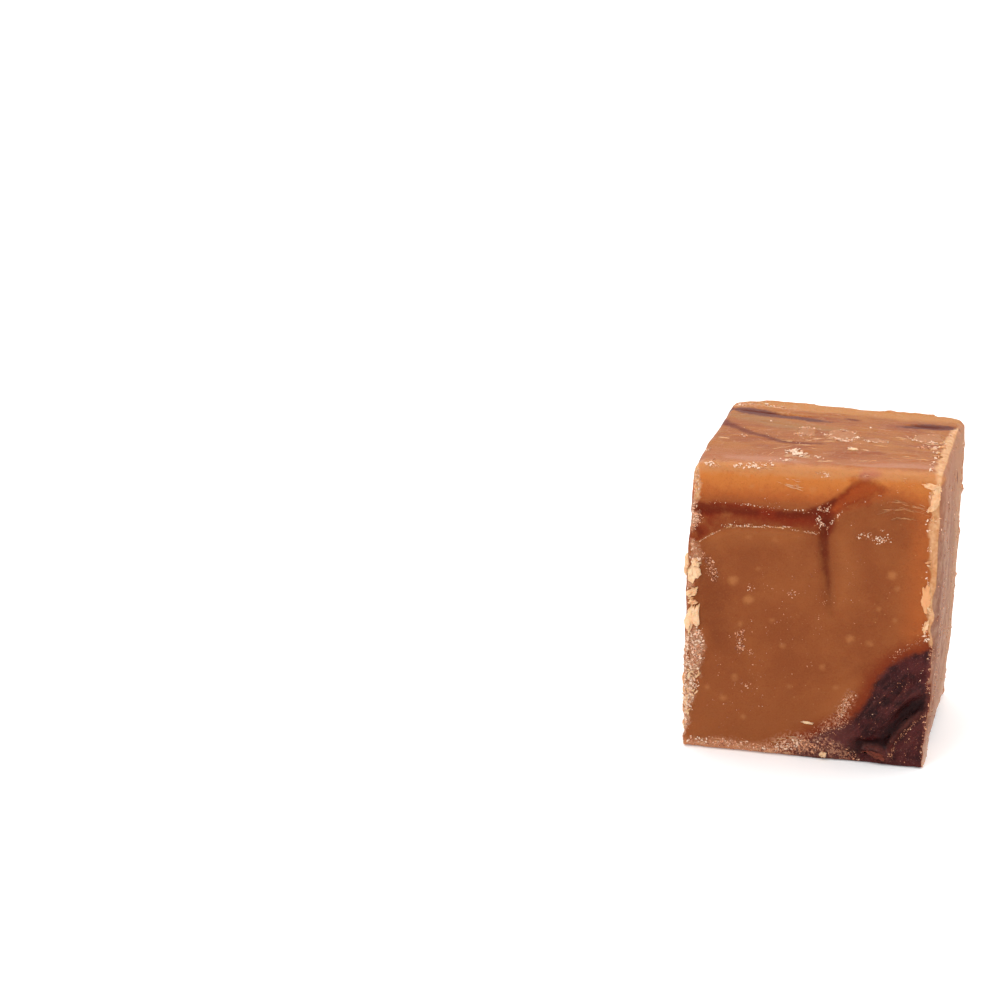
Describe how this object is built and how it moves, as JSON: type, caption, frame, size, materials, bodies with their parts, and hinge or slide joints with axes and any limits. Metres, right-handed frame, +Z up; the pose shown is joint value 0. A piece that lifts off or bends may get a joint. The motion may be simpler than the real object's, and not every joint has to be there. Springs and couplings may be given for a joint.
{
  "type": "fudge cube",
  "caption": "Hand-cut cube of vanilla fudge with dark chocolate folded into one lower corner, crumbly cut edges and a soft glossy top.",
  "frame": {"origin": "middle of the base, on the surface that the cube stands on", "axes": "+Z up along the cube's height, +X to the right along the front face, +Y from the front face to the back"},
  "size_m": [0.0262, 0.0258, 0.0319],
  "materials": {
    "fudge": "satin vanilla fudge, caramel brown with an orange glow in its thin edges, pale dry crumbs along the cuts and near-black chocolate marbling"
  },
  "bodies": {
    "root": {"fudge_cube": "fudge"}
  },
  "joints": []
}
